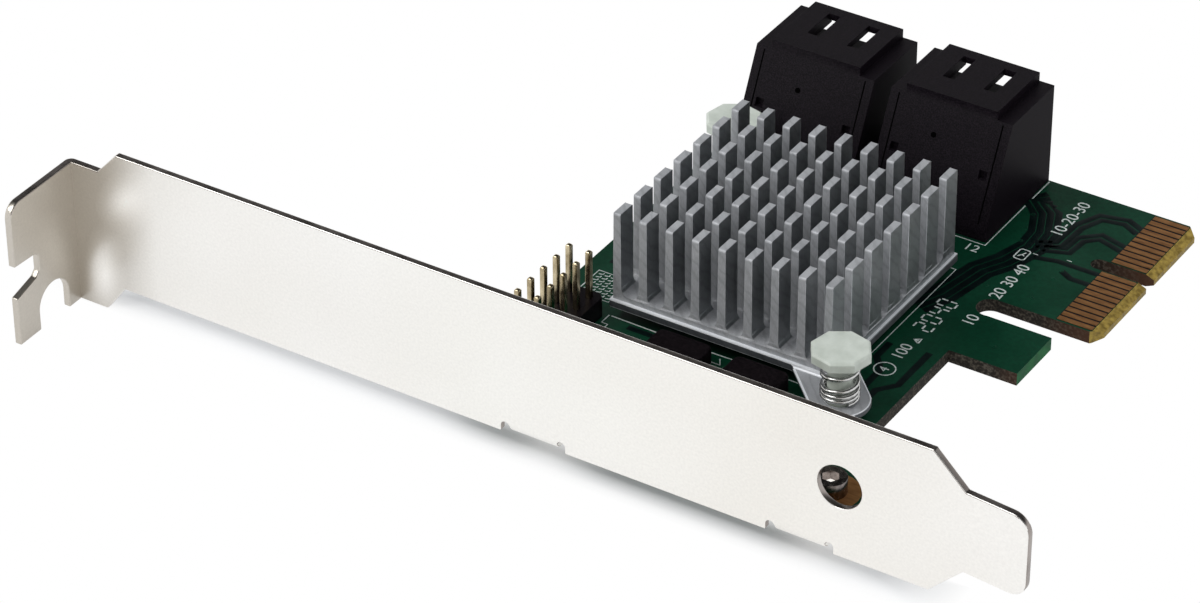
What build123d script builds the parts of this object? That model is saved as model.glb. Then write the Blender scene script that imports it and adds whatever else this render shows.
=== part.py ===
# Raid controller card with bracket, pin-fin heatsink and stacked data connectors.
# Millimetres. X runs along the bracket, Y from the bracket face over the board, Z up.
# The card lies component side up; the board is parallel to the XY plane.
import os
from math import sqrt
from build123d import *

os.makedirs("parts", exist_ok=True)

# Bracket sheet
bracket_length = 120.02
bracket_width = 17.57
sheet = 0.86
bend_radius = 0.9
tab_reach = 10.8
tab_width = 18.1
tab_drop = 3.45
tab_corner = 1.8
jog_start = 4.5
jog_end = 7.1
shoulder_length = 108.65
tongue_start = 112.5
tongue_low = 3.8
tongue_width = 9.95
tongue_kick = 0.75
tongue_corner = 2.1
screw_slot_depth = 4.1
screw_slot_mouth = 4.0
screw_slot_end = 3.0
screw_slot_low = 3.55
guide_notch_width = 5.1
guide_notch_centre = 4.6
guide_notch_height = 4.9
sight_hole_diameter = 5.2
sight_hole_x = 98.05
sight_hole_z = 8.75
ear_width = 5.95
ear_left_x = 60.93
ear_spacing = 32.57
ear_reach = 12.4
ear_bend_radius = 1.2
ear_tip_radius = 1.2
relief_width = 1.05
relief_height = 1.25

# Circuit board
board_thickness = 1.57
board_left = 49.58
board_plate_gap = 0.45
board_back = 70.57
foot_reach = 6.2
foot_end = 13.0
cut_x = 91.66
cut_end = 35.12
small_tab_x = 99.98
small_tab_width = 7.9
side_slot_width = 3.3
contact_end_margin = 0.65
contact_pitch = 1.0
contact_width = 0.7
contact_count = 11
key_gap = 3.0
key_width = 1.9
key_depth = 7.3
contact_start = 98.74
contact_length = 4.3
contact_thickness = 0.04
board_end = 104.12
bevel_length = 1.0
bevel_height = 0.45
tongue_chamfer = 1.2

# Bracket screws
screw_diameter = 2.4
screw_head_diameter = 3.6
screw_head_height = 1.9
screw_shank_below = 0.5
screw_y = 6.4
screw_recess = 2.0
board_screw_hole = 2.7
land_diameter = 6.6
land_thickness = 0.04

# Heatsink
fin_columns = 9
fin_rows = 7
fin_pitch_x = 3.29
fin_pitch_y = 4.1
fin_thickness = 0.95
fin_length = 2.6
fin_top = 15.88
sink_left = 57.49
sink_front = 21.47
ledge = 0.35
plate_thickness = 1.1
block_height = 0.6
ear_step = 0.4
sink_ear_radius = 3.4
pin_offset = 16.3

# Controller chip and thermal pad
chip_size = 11.0
chip_height = 0.95
pad_size = 12.0
pad_height = 0.3

# Push pins and springs
pin_head_across = 6.3
pin_head_thickness = 1.2
pin_head_top = 11.0
pin_shaft_diameter = 2.8
pin_neck_diameter = 2.5
pin_barb_diameter = 3.2
pin_barb_length = 2.2
pin_hole_clearance = 0.3
spring_outer = 4.4
spring_wire = 0.55
spring_turns = 4
spring_gap = 0.03

# Stacked data connectors
port_left_x = 52.19
port_pitch = 17.55
port_width = 15.35
port_top = 16.23
port_ledge_height = 1.1
port_ledge_width = 1.9
port_front_top = 60.65
port_front_low = 55.46
port_slope_bottom = 4.2
port_window_width = 1.5
port_window_length = 5.0
port_window_back = 1.5
port_window_spread = 5.2
port_window_shift = 0.25
socket_width = 13.5
socket_height = 4.4
socket_depth = 6.9
socket_upper = 12.0
socket_lower = 6.3
blade_width = 9.5
blade_thickness = 1.2
blade_setback = 0.6
blade_rise = 0.74
blade_key = 1.9
port_contact_pitch = 1.27
port_contact_count = 7
port_contact_width = 0.5
port_contact_thick = 0.25
port_tail = 1.3
upper_column_y = 60.5
lower_column_y = 63.0
tail_hole = 0.8
pocket_size = 1.0
pocket_depth = 0.6
pocket_spread = 11.3
pocket_z = 9.3

# Pin header
header_pitch = 2.54
header_rows = 5
header_pin = 0.64
header_body_height = 2.5
header_left_x = 52.78
header_back_y = 20.02
header_pin_above = 8.54
header_tail = 1.4
header_hole = 1.0

# Small components
inductor_width = 6.8
inductor_length = 6.4
inductor_height = 2.4
inductor_left_x = 64.84
inductor_pitch = 9.57
inductor_back = 19.36
terminal_length = 1.6
terminal_thickness = 0.12
terminal_overhang = 0.7

flash_x = 71.1
flash_y = 5.6
flash_length = 4.9
flash_width = 3.9
flash_height = 1.45
flash_standoff = 0.15
flash_lead_pitch = 1.27
flash_lead_width = 0.42
flash_lead_reach = 6.0
regulator_x = 80.2
regulator_y = 5.9
regulator_length = 2.9
regulator_width = 1.6
regulator_height = 1.0
regulator_lead_pitch = 0.95
regulator_lead_width = 0.4
regulator_lead_reach = 2.8
crystal_x = 86.2
crystal_y = 8.4
crystal_length = 3.2
crystal_width = 2.5
crystal_height = 0.75
capacitor_length = 2.0
capacitor_width = 1.25
capacitor_height = 1.0
capacitor_pitch = 2.6
capacitor_count = 6
capacitor_y = 10.9
resistor_length = 1.6
resistor_width = 0.8
resistor_height = 0.45
resistor_pitch = 1.5
resistor_count = 5
resistor_x = 84.2
resistor_y = 14.2

# Levels that follow from the values above
board_bottom = sheet
board_top = board_bottom + board_thickness
board_front = sheet + board_plate_gap
sink_bottom = board_top + chip_height + pad_height
sink_plate_top = sink_bottom + plate_thickness
sink_block_top = sink_plate_top + block_height
sink_ear_top = sink_plate_top - ear_step
sink_width = (fin_columns - 1) * fin_pitch_x + fin_thickness
sink_length = (fin_rows - 1) * fin_pitch_y + fin_length
sink_x = sink_left + sink_width / 2
sink_y = sink_front + sink_length / 2
contact_last_y = board_back - contact_end_margin
contact_first_y = contact_last_y - 2 * (contact_count - 1) * contact_pitch - key_gap
key_y = contact_first_y + (contact_count - 1) * contact_pitch + key_gap / 2
tongue_side = contact_first_y - contact_end_margin
ear_right_x = ear_left_x + ear_spacing
foot_x = cut_x + foot_reach
screw_spots = [(ear_left_x, screw_y), (ear_right_x, screw_y)]
pin_spots = [(sink_x + pin_offset, sink_y - pin_offset), (sink_x - pin_offset, sink_y + pin_offset)]
port_left_centre = port_left_x + port_width / 2
port_right_centre = port_left_centre + port_pitch
header_x = header_left_x + header_pitch / 2
header_y = header_back_y - (header_rows - 1) * header_pitch / 2

# The folded bracket
tab_low = -tab_drop
tab_high = tab_width - tab_drop
tongue_high = tongue_low + tongue_width
with BuildPart() as bracket:
    with BuildSketch(Plane.XZ):
        with BuildLine():
            Polyline(
                (0, tab_low), (jog_start, tab_low), (jog_end, 0), (shoulder_length, 0),
                (tongue_start, tongue_low), (tongue_start, tongue_high),
                (shoulder_length, bracket_width), (jog_end, bracket_width),
                (jog_start, tab_high), (0, tab_high), close=True,
            )
        make_face()
    extrude(amount=-sheet)
    with BuildSketch(Plane.XY.offset(tongue_low)):
        with BuildLine():
            Polyline(
                (tongue_start, 0), (bracket_length, -tongue_kick),
                (bracket_length, sheet - tongue_kick), (tongue_start, sheet), close=True,
            )
        make_face()
    extrude(amount=tongue_width)
    tongue_corners = bracket.edges().filter_by(
        lambda e: abs(e.center().X - bracket_length) < 0.01 and e.length < sheet * 1.2
    )
    fillet(tongue_corners, radius=tongue_corner)
    with BuildSketch(Plane.XY.offset(tab_low)):
        with Locations((sheet / 2, (sheet - tab_reach) / 2)):
            Rectangle(sheet, tab_reach + sheet)
    extrude(amount=tab_width)
    tab_far_corner = bracket.edges().filter_by(Axis.X).filter_by(
        lambda e: e.center().Y < 0.1 - tab_reach and e.center().Z > tab_high - 0.1
    )
    fillet(tab_far_corner, radius=tab_corner)
    fold_outside = bracket.edges().filter_by(Axis.Z).filter_by(
        lambda e: e.center().X < 0.01 and e.center().Y > sheet - 0.01
    )
    fillet(fold_outside, radius=bend_radius)
    with BuildSketch(Plane.YZ):
        with BuildLine():
            Polyline(
                (-tab_reach - 1, screw_slot_low - 1.2),
                (screw_slot_depth - tab_reach - 0.6, screw_slot_low),
                (screw_slot_depth - tab_reach, screw_slot_low + 0.6),
                (screw_slot_depth - tab_reach, screw_slot_low + screw_slot_end - 0.4),
                (screw_slot_depth - tab_reach - 0.4, screw_slot_low + screw_slot_end),
                (-tab_reach - 1, screw_slot_low - 1.2 + screw_slot_mouth + 0.5), close=True,
            )
        make_face()
        with Locations((-guide_notch_centre, tab_low)):
            SlotOverall(2 * guide_notch_height, guide_notch_width, rotation=90)
    extrude(amount=sheet, mode=Mode.SUBTRACT)
    with BuildSketch(Plane.XY):
        with Locations((ear_left_x, ear_reach / 2), (ear_right_x, ear_reach / 2)):
            Rectangle(ear_width, ear_reach)
    extrude(amount=sheet)
    with BuildSketch(Plane.XZ):
        for spot in (ear_left_x, ear_right_x):
            with Locations(
                (spot - (ear_width + relief_width) / 2, 0),
                (spot + (ear_width + relief_width) / 2, 0),
            ):
                SlotOverall(2 * relief_height, relief_width, rotation=90)
    extrude(amount=-sheet, mode=Mode.SUBTRACT)
    ear_bends = bracket.edges().filter_by(Axis.X).filter_by(
        lambda e: abs(e.center().Y) < 0.01 and abs(e.center().Z) < 0.01
        and abs(e.length - ear_width) < 0.01
    )
    fillet(ear_bends, radius=ear_bend_radius)
    ear_tips = bracket.edges().filter_by(Axis.Z).filter_by(
        lambda e: abs(e.center().Y - ear_reach) < 0.01
    )
    fillet(ear_tips, radius=ear_tip_radius)
    with BuildSketch(Plane.XZ):
        with Locations((sight_hole_x, sight_hole_z)):
            Circle(sight_hole_diameter / 2)
    extrude(amount=-sheet, mode=Mode.SUBTRACT)
    with BuildSketch(Plane.XY):
        with Locations(*screw_spots):
            Circle(screw_diameter / 2)
    extrude(amount=sheet, mode=Mode.SUBTRACT)
bracket.part.label = "bracket"
export_step(bracket.part, "parts/bracket.step")

# The circuit board with its edge tongue
small_tab_end = cut_end + small_tab_width
with BuildPart() as circuit_board:
    with BuildSketch(Plane.XY.offset(board_bottom)):
        with BuildLine():
            Polyline(
                (board_left, board_front), (foot_x, board_front), (foot_x, foot_end - 4),
                (cut_x, foot_end), (cut_x, cut_end), (small_tab_x, cut_end),
                (small_tab_x, small_tab_end), (cut_x, small_tab_end),
                (cut_x, tongue_side), (board_end - tongue_chamfer, tongue_side),
                (board_end, tongue_side + tongue_chamfer),
                (board_end, board_back - tongue_chamfer),
                (board_end - tongue_chamfer, board_back), (board_left, board_back), close=True,
            )
        make_face()
        with Locations((cut_x, tongue_side - side_slot_width / 2)):
            Circle(side_slot_width / 2, mode=Mode.SUBTRACT)
        with Locations((board_end, key_y)):
            SlotOverall(2 * key_depth, key_width, mode=Mode.SUBTRACT)
        with Locations(*screw_spots):
            Circle(board_screw_hole / 2, mode=Mode.SUBTRACT)
        with Locations(*pin_spots):
            Circle(pin_neck_diameter / 2 + pin_hole_clearance / 2, mode=Mode.SUBTRACT)
        with Locations((header_x, header_y)):
            with GridLocations(header_pitch, header_pitch, 2, header_rows):
                RegularPolygon(header_hole / 2, 8, mode=Mode.SUBTRACT)
        for centre in (port_left_centre, port_right_centre):
            with Locations((centre, upper_column_y), (centre, lower_column_y)):
                with GridLocations(port_contact_pitch, 1, port_contact_count, 1):
                    Rectangle(tail_hole, tail_hole, mode=Mode.SUBTRACT)
    extrude(amount=board_thickness)
    with BuildSketch(Plane.XZ.offset(-tongue_side)):
        with BuildLine():
            Polyline(
                (board_end - bevel_length, board_top + 0.2), (board_end - bevel_length, board_top),
                (board_end, board_top - bevel_height), (board_end + 0.2, board_top - bevel_height),
                (board_end + 0.2, board_top + 0.2), close=True,
            )
        make_face()
        with BuildLine():
            Polyline(
                (board_end - bevel_length, board_bottom - 0.2),
                (board_end - bevel_length, board_bottom),
                (board_end, board_bottom + bevel_height),
                (board_end + 0.2, board_bottom + bevel_height),
                (board_end + 0.2, board_bottom - 0.2), close=True,
            )
        make_face()
    extrude(amount=-(board_back - tongue_side), mode=Mode.SUBTRACT)
circuit_board.part.label = "circuit_board"
export_step(circuit_board.part, "parts/circuit_board.step")

# Gold contacts of the edge tongue, upper side
group_middle = (contact_count - 1) * contact_pitch / 2
contact_x = contact_start + contact_length / 2
with BuildPart() as edge_contacts_top:
    with BuildSketch(Plane.XY.offset(board_top)):
        with Locations(
            (contact_x, contact_first_y + group_middle), (contact_x, contact_last_y - group_middle)
        ):
            with GridLocations(1, contact_pitch, 1, contact_count):
                Rectangle(contact_length, contact_width)
    extrude(amount=contact_thickness)
edge_contacts_top.part.label = "edge_contacts_top"
export_step(edge_contacts_top.part, "parts/edge_contacts_top.step")

# Gold contacts of the edge tongue, lower side
with BuildPart() as edge_contacts_bottom:
    with BuildSketch(Plane.XY.offset(board_bottom - contact_thickness)):
        with Locations(
            (contact_x, contact_first_y + group_middle), (contact_x, contact_last_y - group_middle)
        ):
            with GridLocations(1, contact_pitch, 1, contact_count):
                Rectangle(contact_length, contact_width)
    extrude(amount=contact_thickness)
edge_contacts_bottom.part.label = "edge_contacts_bottom"
export_step(edge_contacts_bottom.part, "parts/edge_contacts_bottom.step")

# Gold lands round the two screw holes
with BuildPart() as screw_lands:
    with BuildSketch(Plane.XY.offset(board_top)):
        with Locations(*screw_spots):
            RegularPolygon(land_diameter / 2, 24)
            RegularPolygon(board_screw_hole / 2, 24, mode=Mode.SUBTRACT)
    extrude(amount=land_thickness)
screw_lands.part.label = "screw_lands"
export_step(screw_lands.part, "parts/screw_lands.step")

# Two small socket-head screws that hold the board on the bracket ears
head_bottom = board_top + land_thickness
with BuildPart() as bracket_screws:
    with BuildSketch(Plane.XY.offset(head_bottom)):
        with Locations(*screw_spots):
            Circle(screw_head_diameter / 2)
    extrude(amount=screw_head_height)
    with BuildSketch(Plane.XY.offset(-screw_shank_below)):
        with Locations(*screw_spots):
            Circle(screw_diameter / 2)
    extrude(amount=head_bottom + screw_shank_below)
    with BuildSketch(Plane.XY.offset(head_bottom + screw_head_height)):
        with Locations(*screw_spots):
            RegularPolygon(screw_recess / 2, 6)
    extrude(amount=-1.1, mode=Mode.SUBTRACT)
bracket_screws.part.label = "bracket_screws"
export_step(bracket_screws.part, "parts/bracket_screws.step")

# Pin-fin heatsink: base plate with two diagonal ears, block and 63 fins
with BuildPart() as heatsink:
    with BuildSketch(Plane.XY.offset(sink_bottom)):
        for spot in pin_spots:
            with Locations(spot):
                Circle(sink_ear_radius)
            with Locations(((spot[0] + sink_x) / 2, (spot[1] + sink_y) / 2)):
                Rectangle(pin_offset * sqrt(2), 2 * sink_ear_radius, rotation=-45)
        with Locations(*pin_spots):
            Circle((pin_shaft_diameter + pin_hole_clearance) / 2, mode=Mode.SUBTRACT)
    extrude(amount=sink_ear_top - sink_bottom)
    with BuildSketch(Plane.XY.offset(sink_bottom)):
        with Locations((sink_x, sink_y)):
            Rectangle(sink_width + 2 * ledge, sink_length + 2 * ledge)
    extrude(amount=plate_thickness)
    with BuildSketch(Plane.XY.offset(sink_plate_top)):
        with Locations((sink_x, sink_y)):
            Rectangle(sink_width, sink_length)
    extrude(amount=block_height)
    with BuildSketch(Plane.XY.offset(sink_block_top)):
        with Locations((sink_x, sink_y)):
            with GridLocations(fin_pitch_x, fin_pitch_y, fin_columns, fin_rows):
                Rectangle(fin_thickness, fin_length)
    extrude(amount=fin_top - sink_block_top)
heatsink.part.label = "heatsink"
export_step(heatsink.part, "parts/heatsink.step")

# Soft pad between chip and heatsink
with BuildPart() as thermal_pad:
    with BuildSketch(Plane.XY.offset(board_top + chip_height)):
        with Locations((sink_x, sink_y)):
            Rectangle(pad_size, pad_size)
    extrude(amount=pad_height)
thermal_pad.part.label = "thermal_pad"
export_step(thermal_pad.part, "parts/thermal_pad.step")

# Controller chip under the heatsink
with BuildPart() as controller_chip:
    with BuildSketch(Plane.XY.offset(board_top)):
        with Locations((sink_x, sink_y)):
            RectangleRounded(chip_size, chip_size, 0.4)
    extrude(amount=chip_height)
controller_chip.part.label = "controller_chip"
export_step(controller_chip.part, "parts/controller_chip.step")

# Two nylon push pins with eight-sided heads and barbed tips
pin_head_bottom = pin_head_top - pin_head_thickness
with BuildPart() as push_pins:
    with BuildSketch(Plane.XY.offset(pin_head_bottom)):
        with Locations(*pin_spots):
            RegularPolygon(pin_head_across / 2, 8, major_radius=False, rotation=54.4)
    extrude(amount=pin_head_thickness)
    head_edges = push_pins.faces().sort_by(Axis.Z)[-2:].edges()
    chamfer(head_edges, length=0.25)
    with BuildSketch(Plane.XY.offset(board_top)):
        with Locations(*pin_spots):
            Circle(pin_shaft_diameter / 2)
    extrude(amount=pin_head_bottom - board_top)
    with BuildSketch(Plane.XY.offset(board_bottom)):
        with Locations(*pin_spots):
            Circle(pin_neck_diameter / 2)
    extrude(amount=board_thickness)
    with BuildSketch(Plane.XY.offset(board_bottom)):
        with Locations(*pin_spots):
            Circle(pin_barb_diameter / 2)
    extrude(amount=-pin_barb_length, taper=22)
    with BuildSketch(Plane.XY.offset(board_bottom - pin_barb_length)):
        with Locations(*pin_spots):
            Rectangle(pin_barb_diameter * 1.2, 0.6)
    extrude(amount=pin_barb_length + board_thickness, mode=Mode.SUBTRACT)
push_pins.part.label = "push_pins"
export_step(push_pins.part, "parts/push_pins.step")

# Coil springs between the push pin heads and the heatsink ears
coil_radius = (spring_outer - spring_wire) / 2
coil_low = sink_ear_top + spring_wire / 2 + spring_gap
coil_height = pin_head_bottom - spring_gap - spring_wire / 2 - coil_low
with BuildPart() as springs:
    for spot in pin_spots:
        with BuildLine() as coil:
            Helix(coil_height / spring_turns, coil_height, coil_radius, center=(spot[0], spot[1], coil_low))
        with BuildSketch(Plane(coil.line @ 0, z_dir=coil.line % 0)):
            RegularPolygon(spring_wire / 2, 5)
        sweep(path=coil.line, is_frenet=True)
springs.part.label = "springs"
export_step(springs.part, "parts/springs.step")

# Contacts of the left stacked connector
blade_underside_upper = socket_upper + blade_rise - blade_thickness / 2
blade_underside_lower = socket_lower + blade_rise - blade_thickness / 2
blade_tip = board_back - blade_setback
tail_low = board_bottom - port_tail
with BuildPart() as sata_contacts_left:
    for column_y, under in (
        (upper_column_y, blade_underside_upper), (lower_column_y, blade_underside_lower)
    ):
        with BuildSketch(Plane.XY.offset(under - port_contact_thick)):
            with Locations((port_left_centre, (column_y + blade_tip - 0.5) / 2)):
                with GridLocations(port_contact_pitch, 1, port_contact_count, 1):
                    Rectangle(port_contact_width, blade_tip - 0.5 - column_y)
        extrude(amount=port_contact_thick)
        with BuildSketch(Plane.XY.offset(tail_low)):
            with Locations((port_left_centre, column_y)):
                with GridLocations(port_contact_pitch, 1, port_contact_count, 1):
                    Rectangle(port_contact_width, port_contact_thick)
        extrude(amount=under - tail_low)
sata_contacts_left.part.label = "sata_contacts_left"
export_step(sata_contacts_left.part, "parts/sata_contacts_left.step")

# Contacts of the right stacked connector
with BuildPart() as sata_contacts_right:
    add(sata_contacts_left.part.moved(Location((port_pitch, 0, 0))))
sata_contacts_right.part.label = "sata_contacts_right"
export_step(sata_contacts_right.part, "parts/sata_contacts_right.step")

# Left stacked housing: two sockets one above the other, sloped back, two latch windows
port_ledge = port_top - port_ledge_height
slope = (port_front_top - port_front_low) / (port_ledge - port_slope_bottom)
with BuildPart() as sata_housing_left:
    with BuildSketch(Plane.YZ.offset(port_left_x)):
        with BuildLine():
            Polyline(
                (port_front_low, board_top), (board_back, board_top), (board_back, port_ledge),
                (port_front_top, port_ledge), (port_front_low, port_slope_bottom), close=True,
            )
        make_face()
    extrude(amount=port_width)
    with BuildSketch(Plane.XY.offset(port_ledge)):
        with Locations((port_left_centre, (board_back + port_front_top) / 2)):
            Rectangle(port_width - 2 * port_ledge_width, board_back - port_front_top)
    extrude(amount=port_ledge_height)
    with BuildSketch(Plane.XZ.offset(-board_back)):
        with Locations((port_left_centre, socket_upper), (port_left_centre, socket_lower)):
            Rectangle(socket_width, socket_height)
    extrude(amount=socket_depth, mode=Mode.SUBTRACT)
    with BuildSketch(Plane.XZ.offset(-blade_tip)):
        for level in (socket_upper + blade_rise, socket_lower + blade_rise):
            with Locations((port_left_centre, level)):
                Rectangle(blade_width, blade_thickness)
            with Locations(
                (port_left_centre - blade_width / 2 + blade_thickness / 2, level - blade_key / 2)
            ):
                Rectangle(blade_thickness, blade_key)
    extrude(amount=socket_depth - blade_setback)
    with BuildSketch(Plane.XY.offset(port_top)):
        window_y = board_back - port_window_back - port_window_length / 2
        with Locations(
            (port_left_centre + port_window_shift - port_window_spread / 2, window_y),
            (port_left_centre + port_window_shift + port_window_spread / 2, window_y),
        ):
            Rectangle(port_window_width, port_window_length)
    extrude(amount=socket_upper + socket_height / 2 - port_top, mode=Mode.SUBTRACT)
    pocket_y = port_front_top - slope * (port_ledge - pocket_z)
    with BuildSketch(Plane.XZ.offset(-(pocket_y + pocket_depth))):
        with Locations(
            (port_left_centre - pocket_spread / 2, pocket_z),
            (port_left_centre + pocket_spread / 2, pocket_z),
        ):
            Rectangle(pocket_size, pocket_size)
    extrude(amount=pocket_depth + 1, mode=Mode.SUBTRACT)
    add(sata_contacts_left.part, mode=Mode.SUBTRACT)
sata_housing_left.part.label = "sata_housing_left"
export_step(sata_housing_left.part, "parts/sata_housing_left.step")

# Right stacked housing, the same moulding one pitch further
with BuildPart() as sata_housing_right:
    add(sata_housing_left.part.moved(Location((port_pitch, 0, 0))))
sata_housing_right.part.label = "sata_housing_right"
export_step(sata_housing_right.part, "parts/sata_housing_right.step")

# Gold pins of the ten-way header
with BuildPart() as header_pins:
    with BuildSketch(Plane.XY.offset(board_bottom - header_tail)):
        with Locations((header_x, header_y)):
            with GridLocations(header_pitch, header_pitch, 2, header_rows):
                Rectangle(header_pin, header_pin)
    extrude(amount=board_thickness + header_tail + header_pin_above)
    pin_tips = header_pins.faces().sort_by(Axis.Z)[-2 * header_rows:].edges()
    chamfer(pin_tips, length=0.15)
header_pins.part.label = "header_pins"
export_step(header_pins.part, "parts/header_pins.step")

# Black header body: a row of square blocks with notched corners
with BuildPart() as header_body:
    with BuildSketch(Plane.XY.offset(board_top)):
        with Locations((header_x, header_y)):
            with GridLocations(header_pitch, header_pitch, 2, header_rows):
                Rectangle(header_pitch, header_pitch)
    extrude(amount=header_body_height)
    body_corners = header_body.edges().filter_by(Axis.Z)
    chamfer(body_corners, length=0.6)
    add(header_pins.part, mode=Mode.SUBTRACT)
header_body.part.label = "header_body"
export_step(header_body.part, "parts/header_body.step")

# Solder terminals of the two power inductors
inductor_right_x = inductor_left_x + inductor_pitch
inductor_y = inductor_back - inductor_length / 2
terminal_spots = [
    (x + side * (inductor_width / 2 - terminal_length / 2 + terminal_overhang), inductor_y)
    for x in (inductor_left_x + inductor_width / 2, inductor_right_x + inductor_width / 2)
    for side in (-1, 1)
]
with BuildPart() as inductor_terminals:
    with BuildSketch(Plane.XY.offset(board_top)):
        with Locations(*terminal_spots):
            Rectangle(terminal_length, inductor_length * 0.55)
    extrude(amount=terminal_thickness)
inductor_terminals.part.label = "inductor_terminals"
export_step(inductor_terminals.part, "parts/inductor_terminals.step")

# Left power inductor
with BuildPart() as inductor_left:
    with BuildSketch(Plane.XY.offset(board_top + terminal_thickness)):
        with Locations((inductor_left_x + inductor_width / 2, inductor_y)):
            RectangleRounded(inductor_width, inductor_length, 0.9)
    extrude(amount=inductor_height)
inductor_left.part.label = "inductor_left"
export_step(inductor_left.part, "parts/inductor_left.step")

# Right power inductor
with BuildPart() as inductor_right:
    with BuildSketch(Plane.XY.offset(board_top + terminal_thickness)):
        with Locations((inductor_right_x + inductor_width / 2, inductor_y)):
            RectangleRounded(inductor_width, inductor_length, 0.9)
    extrude(amount=inductor_height)
inductor_right.part.label = "inductor_right"
export_step(inductor_right.part, "parts/inductor_right.step")

# Flash chip in a small eight-lead package
with BuildPart() as flash_chip:
    with BuildSketch(Plane.XY.offset(board_top + flash_standoff)):
        with Locations((flash_x, flash_y)):
            Rectangle(flash_length, flash_width)
    extrude(amount=flash_height)
    chamfer(flash_chip.faces().sort_by(Axis.Z)[-1].edges(), length=0.15)
flash_chip.part.label = "flash_chip"
export_step(flash_chip.part, "parts/flash_chip.step")

# Leads of the flash chip: foot on the board, rise to the body side
foot_thickness = 0.2
with BuildPart() as flash_leads:
    foot = (flash_lead_reach - flash_width) / 2
    for side in (-1, 1):
        foot_y = flash_y + side * (flash_width / 2 + foot / 2)
        with BuildSketch(Plane.XY.offset(board_top)):
            with Locations((flash_x, foot_y)):
                with GridLocations(flash_lead_pitch, 1, 4, 1):
                    Rectangle(flash_lead_width, foot)
        extrude(amount=foot_thickness)
        rise_y = flash_y + side * (flash_width / 2 + foot_thickness / 2)
        with BuildSketch(Plane.XY.offset(board_top)):
            with Locations((flash_x, rise_y)):
                with GridLocations(flash_lead_pitch, 1, 4, 1):
                    Rectangle(flash_lead_width, foot_thickness)
        extrude(amount=flash_standoff + flash_height / 2)
flash_leads.part.label = "flash_leads"
export_step(flash_leads.part, "parts/flash_leads.step")

# Voltage regulator
with BuildPart() as regulator:
    with BuildSketch(Plane.XY.offset(board_top + flash_standoff)):
        with Locations((regulator_x, regulator_y)):
            Rectangle(regulator_length, regulator_width)
    extrude(amount=regulator_height)
    chamfer(regulator.faces().sort_by(Axis.Z)[-1].edges(), length=0.12)
regulator.part.label = "regulator"
export_step(regulator.part, "parts/regulator.step")

# Leads of the voltage regulator
with BuildPart() as regulator_leads:
    reach = (regulator_lead_reach - regulator_width) / 2
    for side in (-1, 1):
        foot_y = regulator_y + side * (regulator_width / 2 + reach / 2)
        with BuildSketch(Plane.XY.offset(board_top)):
            with Locations((regulator_x, foot_y)):
                with GridLocations(regulator_lead_pitch, 1, 3, 1):
                    Rectangle(regulator_lead_width, reach)
        extrude(amount=foot_thickness)
        rise_y = regulator_y + side * (regulator_width / 2 + foot_thickness / 2)
        with BuildSketch(Plane.XY.offset(board_top)):
            with Locations((regulator_x, rise_y)):
                with GridLocations(regulator_lead_pitch, 1, 3, 1):
                    Rectangle(regulator_lead_width, foot_thickness)
        extrude(amount=flash_standoff + regulator_height / 2)
regulator_leads.part.label = "regulator_leads"
export_step(regulator_leads.part, "parts/regulator_leads.step")

# Crystal in a metal can
with BuildPart() as crystal:
    with BuildSketch(Plane.XY.offset(board_top)):
        with Locations((crystal_x, crystal_y)):
            RectangleRounded(crystal_length, crystal_width, 0.4)
    extrude(amount=crystal_height)
crystal.part.label = "crystal"
export_step(crystal.part, "parts/crystal.step")

# Ceramic capacitors in a row behind the flash chip
capacitor_x = (inductor_left_x + inductor_right_x + inductor_width) / 2
with BuildPart() as ceramic_capacitors:
    with BuildSketch(Plane.XY.offset(board_top)):
        with Locations((capacitor_x, capacitor_y)):
            with GridLocations(capacitor_pitch, 1, capacitor_count, 1):
                Rectangle(capacitor_width, capacitor_length)
    extrude(amount=capacitor_height)
ceramic_capacitors.part.label = "ceramic_capacitors"
export_step(ceramic_capacitors.part, "parts/ceramic_capacitors.step")

# Chip resistors beside the right inductor
with BuildPart() as resistors:
    with BuildSketch(Plane.XY.offset(board_top)):
        with Locations((resistor_x, resistor_y)):
            with GridLocations(1, resistor_pitch, 1, resistor_count):
                Rectangle(resistor_length, resistor_width)
    extrude(amount=resistor_height)
resistors.part.label = "resistors"
export_step(resistors.part, "parts/resistors.step")
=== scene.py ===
from math import atan2, cos, pi, radians, sin, sqrt

import bpy
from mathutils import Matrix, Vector


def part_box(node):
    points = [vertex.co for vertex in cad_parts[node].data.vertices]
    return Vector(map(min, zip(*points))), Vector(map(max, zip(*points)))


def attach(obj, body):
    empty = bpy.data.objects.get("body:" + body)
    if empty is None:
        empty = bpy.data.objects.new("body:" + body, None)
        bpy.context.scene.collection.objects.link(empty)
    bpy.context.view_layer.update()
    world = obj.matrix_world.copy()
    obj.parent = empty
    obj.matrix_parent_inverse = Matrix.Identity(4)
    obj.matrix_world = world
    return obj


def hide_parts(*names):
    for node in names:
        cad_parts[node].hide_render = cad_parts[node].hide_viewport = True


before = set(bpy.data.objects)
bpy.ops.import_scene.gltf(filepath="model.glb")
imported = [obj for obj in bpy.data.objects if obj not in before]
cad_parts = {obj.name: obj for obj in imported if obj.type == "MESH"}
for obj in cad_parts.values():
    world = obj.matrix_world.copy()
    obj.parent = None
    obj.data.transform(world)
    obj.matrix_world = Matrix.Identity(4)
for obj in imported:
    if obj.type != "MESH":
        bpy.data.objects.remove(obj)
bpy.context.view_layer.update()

# Table, light and camera.
# The card lies component side up on a white table in soft light, seen from the front right,
# through a long lens from about half a metre away.
mm = 0.001
table_height = -3.45 * mm
scene = bpy.context.scene
scene.view_settings.view_transform = "Standard"


def pick_nothing():
    """Leaves edit mode and deselects everything, as an operator acts on all that is selected."""
    if bpy.context.mode != "OBJECT":
        bpy.ops.object.mode_set(mode="OBJECT")
    bpy.ops.object.select_all(action="DESELECT")


def pick_only(piece):
    """Selects one piece and makes it the one that operators act on."""
    pick_nothing()
    piece.select_set(True)
    bpy.context.view_layer.objects.active = piece


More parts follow.
